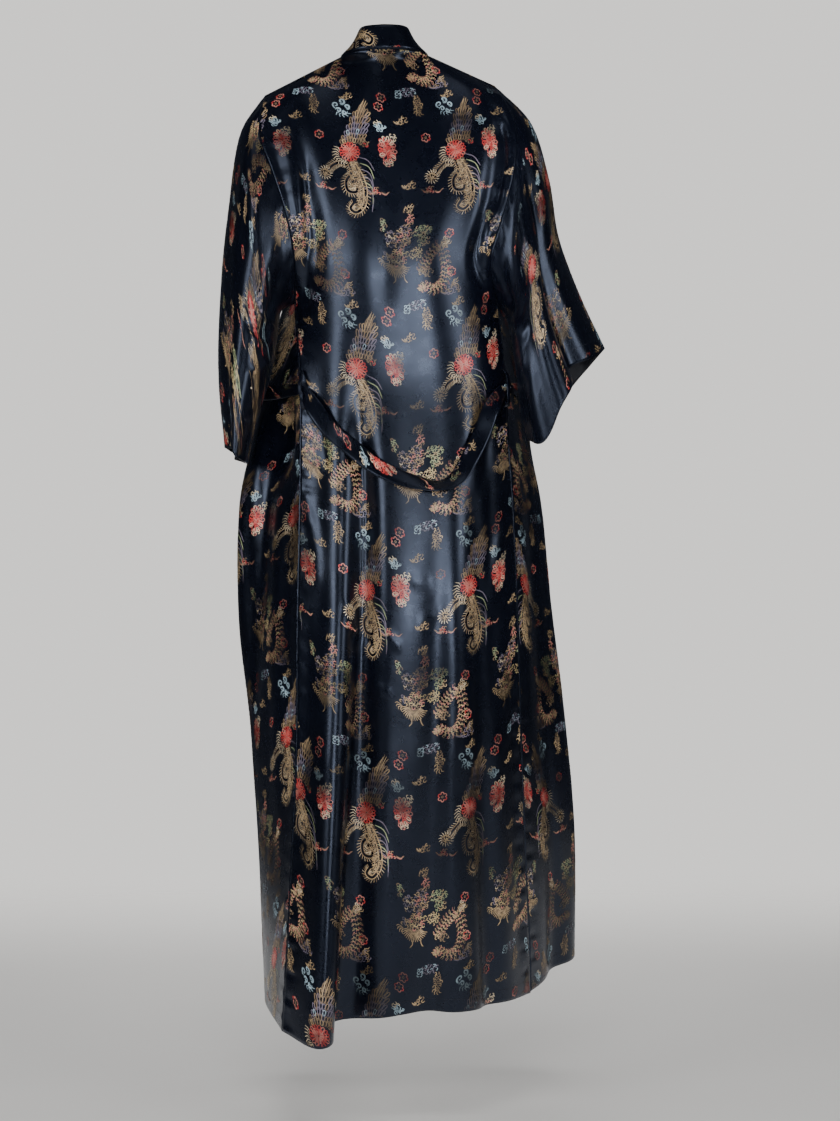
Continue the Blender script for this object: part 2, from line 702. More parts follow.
def colour_noise(material, colours, scale, detail=3.0, low=0.3, high=0.7):
    """Varies the base colour between two colours."""
    shader = material.node_tree.nodes["Principled BSDF"]
    where = add_node(material, "ShaderNodeTexCoord")
    noise = add_node(material, "ShaderNodeTexNoise", Scale=scale, Detail=detail)
    ramp = add_node(material, "ShaderNodeValToRGB")
    ramp.color_ramp.elements[0].position = low
    ramp.color_ramp.elements[1].position = high
    for element, colour in zip(ramp.color_ramp.elements, colours):
        element.color = (*colour, 1)
    link(material, where, "Object", noise, "Vector")
    link(material, noise, "Fac", ramp, "Fac")
    link(material, ramp, "Color", shader, "Base Color")


WEAVE_MM = 0.42  # from one warp float to the next
TWILL_STEP = 2.6  # the satin's floats step over, which gives its fine diagonal
TWILL_ANGLE = math.radians(14)


def satin_weave(material, roughness_low, roughness_high, bump_strength):
    """The satin's warp floats as bump, and its uneven gloss, in the cloth's own flat coordinates."""
    shader = material.node_tree.nodes["Principled BSDF"]
    cloth = add_node(material, "ShaderNodeUVMap", uv_map="cloth")
    pitch = (1000 / WEAVE_MM, 1000 / (WEAVE_MM * TWILL_STEP * 4), 1)
    floats = add_node(material, "ShaderNodeMapping", Scale=pitch, Rotation=(0, 0, TWILL_ANGLE))
    grain = add_node(material, "ShaderNodeTexNoise", Scale=1.0, Detail=2.0, Roughness=0.6)
    slub = add_node(material, "ShaderNodeTexNoise", Scale=38.0, Detail=4.0, Roughness=0.62)
    bump = add_node(material, "ShaderNodeBump", Strength=bump_strength, Distance=0.00012)
    crumple = add_node(material, "ShaderNodeBump", Strength=0.18, Distance=0.0016)
    soft = add_node(material, "ShaderNodeTexNoise", Scale=26.0, Detail=5.0, Roughness=0.55)
    ends = {"To_Min": roughness_low, "To_Max": roughness_high}
    gloss = add_node(material, "ShaderNodeMapRange", From_Min=0.3, From_Max=0.7, **ends)
    link(material, cloth, "UV", floats, "Vector")
    link(material, floats, "Vector", grain, "Vector")
    link(material, cloth, "UV", slub, "Vector")
    link(material, cloth, "UV", soft, "Vector")
    link(material, soft, "Fac", crumple, "Height")
    link(material, grain, "Fac", bump, "Height")
    link(material, crumple, "Normal", bump, "Normal")
    link(material, slub, "Fac", gloss, "Value")
    link(material, gloss, "Result", shader, "Roughness")
    link(material, bump, "Normal", shader, "Normal")


SATIN_DARK = (0.0008, 0.0010, 0.0024)
SATIN_BLUE = (0.0022, 0.0029, 0.0068)

satin = new_material(
    "satin_right_side",
    SATIN_DARK,
    0.42,
    Specular_IOR_Level=0.62,
    Specular_Tint=(0.60, 0.72, 1.0, 1),
    Sheen_Weight=0.02,
    Sheen_Roughness=0.4,
    Sheen_Tint=(0.5, 0.6, 0.9, 1),
)
colour_noise(satin, (SATIN_DARK, SATIN_BLUE), 5.0)
satin_weave(satin, 0.25, 0.31, 0.35)

wrong_side = new_material("satin_wrong_side", SATIN_DARK, 0.6, Specular_IOR_Level=0.35)
colour_noise(wrong_side, ((0.006, 0.0068, 0.011), (0.011, 0.0125, 0.019)), 60.0)
satin_weave(wrong_side, 0.5, 0.68, 0.5)

stitch_thread = new_material("stitch_thread", (0.012, 0.013, 0.022), 0.5, Specular_IOR_Level=0.4)
colour_noise(stitch_thread, ((0.008, 0.009, 0.016), (0.02, 0.022, 0.034)), 400.0)

# The brocade's threads. A noise fades each to a share of its colour, as where satin floats cover it.
THREADS = table(
    "name red green blue",
    [
        ["gold", 0.52, 0.37, 0.20],
        ["antique", 0.58, 0.47, 0.23],
        ["brown", 0.26, 0.18, 0.11],
        ["mauve", 0.17, 0.145, 0.20],
        ["sage", 0.33, 0.38, 0.21],
        ["pale", 0.38, 0.52, 0.60],
        ["red", 0.60, 0.055, 0.05],
        ["pink", 0.62, 0.24, 0.19],
        ["cream", 0.72, 0.60, 0.42],
    ],
)
THREAD_FADE = 0.15
THREAD_INDEX = {row["name"]: k for k, row in enumerate(THREADS)}
thread_materials = []
for row in THREADS:
    light = (row["red"], row["green"], row["blue"])
    faded = tuple(THREAD_FADE * part for part in light)
    material = new_material(f"thread_{row['name']}", light, 0.36, Specular_IOR_Level=0.55)
    colour_noise(material, (faded, light), 11.0, 9.0, 0.40, 0.62)
    thread_materials.append(material)


# ---- Meshes ----
def make_mesh(name, points, quads, materials, indices=None, uv=None):
    mesh = bpy.data.meshes.new(name)
    points = np.asarray(points, np.float32).reshape(-1, 3) * MM
    quads = np.asarray(quads, np.int32).reshape(-1, 4)
    mesh.vertices.add(len(points))
    mesh.vertices.foreach_set("co", points.ravel())
    mesh.loops.add(quads.size)
    mesh.loops.foreach_set("vertex_index", quads.ravel())
    mesh.polygons.add(len(quads))
    mesh.polygons.foreach_set("loop_start", np.arange(0, quads.size, 4, dtype=np.int32))
    mesh.polygons.foreach_set("use_smooth", np.full(len(quads), True))
    for material in materials:
        mesh.materials.append(material)
    if indices is not None:
        mesh.polygons.foreach_set("material_index", np.asarray(indices, np.int32))
    if uv is not None:
        layer = mesh.uv_layers.new(name="cloth")
        layer.data.foreach_set("uv", np.asarray(uv, np.float32)[quads.ravel()].ravel() * MM)
    mesh.update(calc_edges=True)
    mesh.validate()
    made = bpy.data.objects.new(name, mesh)
    bpy.context.collection.objects.link(made)
    return made


def shell_quads(rows, columns, turn, closed):
    """Faces of a closed shell: right side, wrong side, rims. Also which of them are the wrong side."""
    index = np.arange(rows * columns).reshape(rows, columns)
    if closed:
        index = np.hstack([index, index[:, :1]])
    a, b = index[:-1, :-1], index[:-1, 1:]
    d, c = index[1:, :-1], index[1:, 1:]
    right = np.stack([a, d, c, b], -1).reshape(-1, 4)
    under = rows * columns
    wrong = right[:, ::-1] + under
    rims = []
    first, last = index[0], index[-1]
    rims.append(np.stack([first[:-1] + under, first[:-1], first[1:], first[1:] + under], -1))
    rims.append(np.stack([last[:-1], last[:-1] + under, last[1:] + under, last[1:]], -1))
    if not closed:
        first, last = index[:, 0], index[:, -1]
        rims.append(np.stack([first[:-1], first[:-1] + under, first[1:] + under, first[1:]], -1))
        rims.append(np.stack([last[:-1] + under, last[:-1], last[1:], last[1:] + under], -1))
    quads = np.vstack([right, wrong, *rims])
    if turn < 0:
        quads = quads[:, ::-1]
    is_wrong = np.zeros(len(quads), bool)
    is_wrong[len(right) : 2 * len(right)] = True
    return quads, is_wrong


def shell(name, grid, gridN, thickness, flat, turn=1, closed=False, materials=None):
    rows, columns = grid.shape[:2]
    half = np.asarray(thickness) / 2
    if np.ndim(half):
        half = np.broadcast_to(half, (rows, columns))[..., None]
    points = np.vstack([(grid + gridN * half).reshape(-1, 3), (grid - gridN * half).reshape(-1, 3)])
    quads, is_wrong = shell_quads(rows, columns, turn, closed)
    uv = np.vstack([flat.reshape(-1, 2)] * 2)
    return make_mesh(name, points, quads, materials or [satin, wrong_side], is_wrong.astype(int), uv)


def flat_coordinates(grid, middle_column, top_drop=None):
    """Each grid point's place in the flat cloth: u across from a column, v down from the shoulder line."""
    across = run_length(grid, 1)
    across = across - across[:, middle_column : middle_column + 1]
    down = run_length(grid, 0)
    if top_drop is not None:
        down = down + top_drop
    return np.stack([across, down], -1)


flats = {}
for panel, grid in body.items():
    middle = BACK_CELLS // 2 if panel == "back" else 0
    flats[panel] = flat_coordinates(grid, middle, -grid[0, :, 2][None])
SLEEVE_TOP = 60  # v at the armhole, counted from the shoulder line
sleeve_flats = {}
for side, grid in sleeves.items():
    closed_ring = np.concatenate([grid, grid[:, :1]], axis=1)
    around = run_length(closed_ring, 1)
    total = around[:, -1:]
    around = around[:, :-1]
    around = np.where(around > total / 2, around - total, around)
    sleeve_flats[side] = np.stack([around, run_length(grid, 0) + SLEEVE_TOP], -1)

# ---- Neckband ----
COLLAR_LEAN = unit(np.array([0.0, -0.15, 1]))
COLLAR_INWARD_NAPE, COLLAR_INWARD_SIDE = 0.1, 1.15


def band_steps():
    """The edge the band is sewn to, the direction out of the cloth there, and how far the band stands up."""
    parts = []
    for side, order in (("left", slice(None, 0, -1)), ("right", slice(1, None))):
        edge = body[side][order, 0]
        out = unit(edge - body[side][order, 2])
        parts.append((edge, out, smooth(edge[:, 2], -150, -10)))
    neck = slice(2 * CELLS_PER_BACK_STATION, 4 * CELLS_PER_BACK_STATION + 1)
    edge = body["back"][0, neck]
    out = unit(edge - body["back"][3, neck])
    parts.insert(1, (edge, out, np.ones(len(edge))))
    return (np.concatenate(part) for part in zip(*parts))


def band_grid():
    edge, cloth_out, rise = band_steps()
    along = unit(np.gradient(edge, axis=0))
    sideways = np.minimum(1, np.abs(edge[:, 0]) / NECK["left"][0])
    inward = lerp(COLLAR_INWARD_NAPE, COLLAR_INWARD_SIDE, sideways**2)
    standing = np.tile(COLLAR_LEAN, (len(edge), 1))
    standing[:, 0] -= np.sign(edge[:, 0]) * inward
    out = lerp(cloth_out, unit(standing), rise[:, None])
    out = unit(out - along * np.sum(out * along, axis=1, keepdims=True))
    normal = unit(np.cross(along, out))
    tilt = np.sqrt(np.maximum(0, 1 - np.sum(out * cloth_out, axis=1) ** 2))
    start = BAND_GAP + BAND_THICKNESS / 2 * tilt
    width = lerp(BAND_WIDTH_FRONT, BAND_WIDTH_NAPE, rise)
    reach = start[:, None] + width[:, None] * np.linspace(0, 1, BAND_CELLS + 1)
    grid = edge[:, None] + out[:, None] * reach[..., None]
    # the double cloth isn't quite flat: slow waves along it, stronger towards the folded edge
    length = run_length(edge[:, None], 0)
    wave = 0.7 * np.sin(length / 23) + 0.5 * np.sin(length / 9.1 + 1) + 0.35 * np.sin(length / 5.3)
    grid += normal[:, None] * (wave * np.linspace(0.2, 1, BAND_CELLS + 1))[..., None]
    return grid, np.repeat(normal[:, None], BAND_CELLS + 1, axis=1)


band, band_normals = band_grid()
BAND_PROFILE = np.array([0.85, 1, 1, 1, 1, 1, 0.95, 0.8, 0.4])  # thickness across it, down to the fold
band_flat = np.stack([run_length(band, 1), run_length(band, 0)], -1)

# ---- Belt ----
SWAG = table(
    "x drop tilt",  # tilt: 0 lies flat against the back, 1 is edge-on
    [
        [98, 506, 0.05],
        [76, 536, 0.1],
        [48, 560, 0.15],
        [18, 585, 0.25],
        [-14, 602, 0.4],
        [-48, 613, 0.6],
        [-78, 617, 0.75],
        [-102, 607, 0.6],
        [-120, 579, 0.3],
        [-137, 545, 0.1],
        [-152, 506, 0.05],
    ],
)
TAIL = table(
    "row place gather",
    [
        [7.14, 3, 0.6],
        [7.14, 2.7, 0.8],
        [7.14, 2.3, 1],
        [7.16, 1.9, 1],
        [7.28, 1.55, 1],
        [7.6, 1.32, 1],
        [8.1, 1.24, 1],
        [9.0, 1.2, 1],
        [10.0, 1.2, 1],
        [11.0, 1.2, 1],
        [11.7, 1.2, 1],
    ],
)
FACING_BACK = np.array([0.0, 1, 0])
EDGE_ON = unit(np.array([0, 0.35, 1]))
BRIDGE = 34
BRIDGE_SAG = 9
BELT_STEPS_PER_KEY = 9
BELT_CELLS = 8
LOOP_ROW = 7.14
LOOP_INSET = 0.12
LOOP_HALF_ROWS = 0.27
LOOP_BULGE = 12.5
LOOP_STEPS = 36
LOOP_GAP = 0.8
LOOP_GATHER = 0.5


def grid_place(panel, row, place):
    j = np.interp(row, ROWS, np.arange(len(ROWS)))
    return j, place * CELLS[panel]


def sample(grid, j, i):
    """Bilinear sample of a grid at fractional lines and columns."""
    j = np.clip(j, 0, grid.shape[0] - 1.000001)
    i = np.clip(i, 0, grid.shape[1] - 1.000001)
    j0, i0 = np.floor(j).astype(int), np.floor(i).astype(int)
    wj, wi = (j - j0)[..., None], (i - i0)[..., None]
    upper = lerp(grid[j0, i0], grid[j0, i0 + 1], wi)
    lower = lerp(grid[j0 + 1, i0], grid[j0 + 1, i0 + 1], wi)
    return lerp(upper, lower, wj)


def surface_at(panel, row, place):
    j, i = grid_place(panel, np.asarray(row, float), np.asarray(place, float))
    return sample(body[panel], j, i), unit(sample(normals[panel], j, i))


def bridged_depth(x, z):
    """Depth of the back at a height, as something that spans its hollows feels it."""
    back = body["back"]
    j = np.argmax(back[..., 2] <= z, axis=0)
    columns = np.arange(back.shape[1])
    above, below = back[j - 1, columns], back[j, columns]
    share = (above[:, 2] - z) / (above[:, 2] - below[:, 2])
    points = lerp(above, below, share[:, None])
    off = (points[:, 0] - x) / BRIDGE
    return np.max(np.where(np.abs(off) <= 1, points[:, 1] - BRIDGE_SAG * off * off, -np.inf))


def loop_place(side):
    return LOOP_INSET if side == "left" else len(BACK_STATIONS) - 1 - LOOP_INSET


def belt_keys():
    """The belt's middle line: its points, the way its face looks, and the share of its width it keeps."""
    keys = []

    def on_panel(panel, row, place, gather):
        point, normal = surface_at(panel, row, place)
        return point + normal * BELT_CLEARANCE, normal, gather

    keys += [on_panel("left", row["row"], row["place"], row["gather"]) for row in reversed(TAIL)]
    keys.append(on_panel("back", LOOP_ROW, loop_place("left"), LOOP_GATHER))
    for row in SWAG:
        depth = bridged_depth(row["x"], -row["drop"]) + BELT_CLEARANCE + BELT_WIDTH / 2 * row["tilt"]
        facing = unit(lerp(FACING_BACK, EDGE_ON, row["tilt"]))
        keys.append((np.array([row["x"], depth, -row["drop"]], float), facing, 1))
    keys.append(on_panel("back", LOOP_ROW, loop_place("right"), LOOP_GATHER))
    keys += [on_panel("right", row["row"], row["place"], row["gather"]) for row in TAIL]
    points, facings, gathers = zip(*keys)
    return np.array(points), np.array(facings), np.array(gathers, float)


def belt_grid():
    points, facings, gathers = belt_keys()
    shares = np.linspace(0, 1, (len(points) - 1) * BELT_STEPS_PER_KEY + 1)
    middle = spline(points, shares)
    along = unit(np.gradient(middle, axis=0))
    normal = spline(facings, shares)
    normal = unit(normal - along * np.sum(normal * along, axis=1, keepdims=True))
    across = unit(np.cross(normal, along))
    width = BELT_WIDTH * np.interp(shares * (len(points) - 1), np.arange(len(points)), gathers)
    part = np.linspace(-0.5, 0.5, BELT_CELLS + 1)
    grid = middle[:, None] + across[:, None] * (width[:, None] * part)[..., None]
    # a strip of limp satin cups a little, and more where it is gathered
    length = run_length(middle[:, None], 0)
    cup = 1.2 * np.sin(length / 37) + 0.7 * np.sin(length / 13.3) + 3.2 * (1 - width[:, None] / BELT_WIDTH)
    pleat = np.cos(part * 4 * math.pi) * (1 - width[:, None] / BELT_WIDTH) * 2.4
    grid += normal[:, None] * (cup * (0.25 - part**2) * 2 + pleat)[..., None]
    return grid, np.repeat(normal[:, None], BELT_CELLS + 1, axis=1)


belt, belt_normals = belt_grid()
BELT_PROFILE = np.array([0.35, 0.8, 1, 1, 0.95, 1, 1, 0.8, 0.45])
belt_flat = np.stack([run_length(belt, 1) - BELT_WIDTH / 2, run_length(belt, 0)], -1)


def loop_grid(side):
    place = loop_place(side)
    angles = np.linspace(0, math.pi, LOOP_STEPS + 1)
    roots, ups = surface_at("back", LOOP_ROW - LOOP_HALF_ROWS * np.cos(angles), np.full(len(angles), place))
    path = roots + ups * (CLOTH / 2 + LOOP_GAP + LOOP_BULGE * np.sin(angles))[:, None]
    along = unit(np.gradient(path, axis=0))
    below, _ = surface_at("back", LOOP_ROW + 0.5, place)
    middle, _ = surface_at("back", LOOP_ROW, place)
    across = unit(np.cross(unit(below - middle), ups))
    normal = unit(np.cross(along, across))
    part = np.linspace(-0.5, 0.5, 5) * LOOP_WIDTH
    return path[:, None] + across[:, None] * part[:, None], np.repeat(normal[:, None], 5, axis=1)


# ---- The cloth pieces ----
PANEL_NODES = {"back": "back", "left": "front_left", "right": "front_right"}
pieces = {}
for panel, node in PANEL_NODES.items():
    pieces[node] = shell(f"cloth_{node}", body[panel], normals[panel], CLOTH, flats[panel], TURNS[panel])
for side in SIDES:
    node = f"sleeve_{side}"
    pieces[node] = shell(
        f"cloth_{node}", sleeves[side], sleeve_normals[side], CLOTH, sleeve_flats[side], TURNS[side], True
    )
pieces["neckband"] = shell(
    "cloth_neckband", band, band_normals, BAND_THICKNESS * BAND_PROFILE, band_flat, materials=[satin, satin]
)
pieces["belt"] = shell(
    "cloth_belt", belt, belt_normals, BELT_THICKNESS * BELT_PROFILE, belt_flat, materials=[satin, satin]
)
for side in SIDES:
    grid, gridN = loop_grid(side)
    flat = np.stack([run_length(grid, 1), run_length(grid, 0)], -1)
    node = f"belt_loop_{side}"
    pieces[node] = shell(f"cloth_{node}", grid, gridN, LOOP_THICKNESS, flat, materials=[satin, satin])

# ---- Brocade: each figure is a list of strokes (thread name, points) in millimetres, v down ----
THREAD = 0.62  # half the width of a stroke


def bend(points, count):
    """A smooth line through a few points in the flat."""
    flat = np.asarray(points, float)
    return spline(np.column_stack([flat, np.zeros(len(flat))]), np.linspace(0, 1, count))[:, :2]


def ring(x, y, rx, ry=None, start=0, end=360, count=16):
    angles = np.radians(np.linspace(start, end, count))
    return np.column_stack([x + rx * np.cos(angles), y + (ry or rx) * np.sin(angles)])


def side_steps(line):
    """Unit normals of a flat line, to its left."""
    along = np.gradient(line, axis=0)
    along /= np.maximum(np.linalg.norm(along, axis=1, keepdims=True), 1e-9)
    return np.column_stack([along[:, 1], -along[:, 0]])


def worm(x, y, radius, start, sweep=240, count=7):
    """A short curled thread: most of a small ring."""
    return ring(x, y, radius, None, start, start + sweep, count)


def tuft(x, y, rx, ry, threads, seed, size=1.7):
    """A bush of curled threads that fills an oval."""
    chance = np.random.default_rng(seed)
    strokes = []
    for row, v in enumerate(np.arange(-ry + size, ry, size * 1.75)):
        half = rx * math.sqrt(max(0, 1 - (v / ry) ** 2))
        for u in np.arange(-half + (row % 2) * size, half + 0.01, size * 2.15):
            off_u, off_v = chance.uniform(-0.45, 0.45, 2) * size
            radius = size * chance.uniform(0.75, 1.2)
            start, sweep = chance.uniform(0, 360), chance.uniform(170, 300)
            line = worm(x + u + off_u, y + v + off_v, radius, start, sweep)
            strokes.append((threads[chance.integers(len(threads))], line))
    return strokes


def tufts(rows):
    """Tufts from rows of x, y, rx, ry, size of a curl, threads."""
    strokes = []
    for k, (x, y, rx, ry, size, threads) in enumerate(rows):
        strokes += tuft(x, y, rx, ry, threads, 7 * k + len(rows), size)
    return strokes


def petal(x, y, angle, length, width):
    """The outline of a petal that points away from (x, y)."""
    way = np.array([math.cos(angle), math.sin(angle)])
    aside = np.array([-way[1], way[0]]) * width
    root = np.array([x, y])
    corners = ((0.1, 0.15), (0.55, 0.5), (0.9, 0.4), (1, 0), (0.9, -0.4), (0.55, -0.5), (0.1, -0.15))
    return np.array([root + way * length * far + aside * side for far, side in corners])


def fan(x, y, reach, start, end, count, thread, inner=0.3, curve=0.0):
    """Strokes that spread from a point, each bent a little to one side."""
    strokes = []
    for angle in np.radians(np.linspace(start, end, count)):
        way = np.array([math.cos(angle), math.sin(angle)])
        aside = np.array([-way[1], way[0]]) * curve * reach
        line = [way * reach * inner, way * reach * 0.7 + aside, way * reach + aside * 0.3]
        strokes.append((thread, np.array(line) + (x, y)))
    return strokes


def caterpillar(points, reach, spine_thread, barb_threads, count=24, sides=(1, -1), lean=0.6):
    """A bent plume: a double spine under short barbs that lean along it."""
    spine = bend(points, count)
    out = side_steps(spine)
    along = np.gradient(spine, axis=0)
    along /= np.linalg.norm(along, axis=1, keepdims=True)
    strokes = [(spine_thread, spine + out * side * reach * 0.35) for side in sides]
    for k in range(count):
        taper = 0.55 + 0.45 * math.sin(math.pi * (k + 1) / (count + 1))
        for side in sides:
            root = spine[k] + out[k] * side * reach * 0.4
            tip = root + (out[k] * side + along[k] * lean) * reach * 0.75 * taper
            strokes.append((barb_threads[k % len(barb_threads)], np.array([root, tip])))
    return strokes


def rosette():
    strokes = [("brown", ring(0, 0, 1.3, count=8))]
    for k in range(6):
        angle = k * math.pi / 3 + 0.3
        x, y = 4.6 * math.cos(angle), 4.6 * math.sin(angle)
        strokes.append(("pink" if k % 3 else "red", worm(x, y, 2.1, math.degrees(angle) - 120)))
    return strokes


SPIRAL_SWEEP = 400
SPIRAL_CLOSE = 0.78  # the share of its radius that a curl loses on the way in


def spiral(x, y, radius, turn, start):
    """A curl that closes in."""
    share = np.linspace(0, 1, 14)
    angles = np.radians(start + turn * SPIRAL_SWEEP * share)
    reach = radius * (1 - SPIRAL_CLOSE * share)
    return np.column_stack([x + reach * np.cos(angles), y + reach * np.sin(angles)])


CURLS = [
    (-8, -3, 5.6, 1, 90),
    (0, -10, 6, -1, 100),
    (8, -3, 5.2, -1, 80),
    (-3, 5, 4.8, 1, 180),
    (6, 8, 4.4, -1, 250),
]


def curl_cloud(main, edge):
    """A cloud of a few fat curls over a trailing foot."""
    strokes = []
    for x, y, radius, turn, start in CURLS:
        for inset, thread in ((0, edge), (1.5, main)):
            strokes.append((thread, spiral(x, y, radius - inset, turn, start + 14 * inset)))
    strokes += fan(2, 2, 14, 20, 120, 5, main, 0.55, 0.2)
    return strokes


def flat_cloud(main, edge, size=1.0):
    """A wide cloud of fine curls with a tail to one side."""
    strokes = tufts([(2 * size, 0, 12 * size, 5 * size, 1.9, (main, main, edge))])
    strokes += tufts([(4 * size, -6 * size, 6 * size, 4 * size, 1.8, (edge, main))])
    tail = [(-18 * size, -1), (-12 * size, 2.5), (-6 * size, 2)]
    for off in (0, 1.5):
        strokes.append((edge if off == 0 else main, bend(tail, 7) + (0, off)))
    return strokes


def bat_cloud():
    """A small pair of curls between two swept tails."""
    strokes = tufts([(-3, 0, 6, 4.4, 1.7, ("red", "pink", "brown"))])
    for turn in (1, -1):
        for off in (0, 1.7):
            wing = [(turn * 4, 1 + off), (turn * 10, 3.4 + off * 0.6), (turn * (16 - off), -0.5 + off * 0.4)]
            strokes.append(("pink" if off else "brown", bend(wing, 6)))
    return strokes


def peony():
    """A full flower, taller than wide, of packed petals, over a leaf and between two buds."""
    strokes = []
    for y, spread, count, thread in ((-9, 1.0, 7, "red"), (0, 1.15, 9, "red"), (8, 1.0, 8, "red")):
        for k in range(count):
            angle = 2 * math.pi * (k + 0.5 * (y > 0)) / count
            x = 2.6 * math.cos(angle)
            strokes.append((thread if k % 3 else "pink", petal(x, y, angle, 9.5 * spread, 5.2)))
    strokes += tufts([(0, -3, 8, 12, 1.8, ("red", "red", "pink")), (1, 19, 8, 4, 1.7, ("cream", "pink"))])
    for turn in (-145, -115, -80, -40, 150, 100, 60, 25):
        angle = math.radians(turn)
        strokes.append(("cream", petal(4 * math.cos(angle), 13 * math.sin(angle), angle, 8, 3.6)))
    buds = [(11, -20, 4.5, 5, 1.9, ("pink", "cream")), (-8, -33, 7, 9, 2.3, ("pale", "pale", "cream"))]
    strokes += tufts(buds)
    strokes += fan(-7, -26, 12, -150, -60, 5, "pale", 0.2, 0.15)
    return strokes


PHOENIX_TAIL = [(2, 14), (13, 34), (19, 58), (16, 80), (5, 90), (-3, 84), (2, 76)]


def phoenix():
    """A bird seen from above: a red breast, one raised wing, a fringed head held low and curling plumes."""
    strokes = []
    for x, y, half, lift, count, lean, thread, other in (
        (4, -13, 13, 10, 9, 10, "brown", "gold"),
        (7, -19, 13, 10, 9, 14, "brown", "mauve"),
        (10, -26, 12, 11, 9, 18, "mauve", "pale"),
        (13, -34, 11, 12, 8, 22, "mauve", "brown"),
        (17, -42, 9, 14, 7, 24, "brown", "mauve"),
        (21, -51, 7, 16, 6, 24, "brown", "gold"),
    ):
        for k in range(count):
            share = k / (count - 1) - 0.5
            angle = math.radians(-90 + lean + 44 * share)
            root = (x + 2 * half * share, y + 5 * share * share * half / 5)
            reach = lift * (1 + 0.16 * math.sin(5 * k + y))
            strokes.append((other if k % 4 == 1 else thread, petal(*root, angle, reach, 3.6)))
    for k in range(5):
        line = [(19 + 2 * k, -58), (23 + 2.4 * k, -68), (29 + 2.2 * k, -80 + 3 * abs(k - 2))]
        strokes.append(("gold" if k % 2 else "brown", bend(line, 6)))
    for reach, count, thread in ((15, 17, "red"), (10.5, 13, "red"), (6, 8, "pink")):
        for k in range(count):
            angle = 2 * math.pi * k / count + reach
            strokes.append((thread if k % 4 else "pink", petal(0, 0, angle, reach, 4.0)))
    strokes += fan(-6, 4, 20, 95, 215, 9, "cream", 0.5, 0.14)
    strokes += tufts([(23, -12, 5, 6, 1.7, ("red", "brown")), (-38, 33, 7, 6, 1.7, ("brown", "gold"))])
    strokes += fan(-38, 33, 11, 0, 330, 15, "cream", 0.62, 0.1)
    strokes += caterpillar([(-6, 20), (-16, 17), (-27, 22), (-34, 30)], 6.5, "brown", ("gold", "cream"), 15)
    plumes = (
        (7.0, "gold", ("gold", "cream", "brown"), 34, PHOENIX_TAIL),
        (6.8, "brown", ("cream", "gold"), 26, [(-2, 16), (0, 32), (-8, 44), (-6, 58), (6, 60), (8, 50)]),
        (5, "brown", ("brown", "gold"), 18, [(6, 14), (10, 34), (14, 52), (10, 70)]),
    )
    for reach, spine_thread, barbs, count, points in plumes:
        strokes += caterpillar(points, reach, spine_thread, barbs, count)
    down = [(5, 36, 7, 20, 1.8, ("brown", "brown", "gold")), (14, 72, 7, 12, 1.8, ("brown", "gold"))]
    strokes += tufts(down)
    for k in range(6):
        line = [(12 + k, 8 + 9 * k), (25 + 0.8 * k, 15 + 10 * k), (33 - k, 30 + 12 * k)]
        strokes.append(("sage" if k % 3 == 1 else "mauve", bend(line, 7)))
    return strokes


DRAGON_NECK = [(-4, 12), (6, 0), (16, -12), (27, -20)]
DRAGON_COIL = [(34, -4), (35, 18), (27, 34), (14, 37), (2, 30), (-6, 36)]
DRAGON_TUFTS = [
    (-20, -84, 6, 6, 1.9, ("gold", "brown")),
    (-16, -68, 5, 8, 1.8, ("pink", "brown")),
    (2, -46, 12, 9, 1.8, ("sage", "sage", "gold")),
    (4, -32, 7, 8, 1.7, ("sage", "gold")),
    (-24, -44, 11, 18, 1.9, ("brown", "gold", "pink", "mauve")),
    (-42, -42, 7, 12, 1.9, ("brown", "mauve", "cream")),
    (-54, -58, 5, 8, 1.9, ("sage", "brown")),
    (-46, -16, 6, 6, 1.9, ("gold", "mauve")),
    (-30, -16, 12, 12, 1.7, ("gold", "antique", "brown", "pink")),
    (-6, -16, 8, 9, 1.8, ("antique", "gold")),
    (7, 12, 8, 7, 1.8, ("brown", "gold", "brown")),
    (36, -24, 4, 8, 1.7, ("gold", "cream")),
    (-10, 54, 14, 6, 1.8, ("mauve", "pale", "mauve")),
    (-24, 56, 5, 5, 2.0, ("pale",)),
    (2, 74, 6, 13, 1.8, ("gold", "brown")),
]


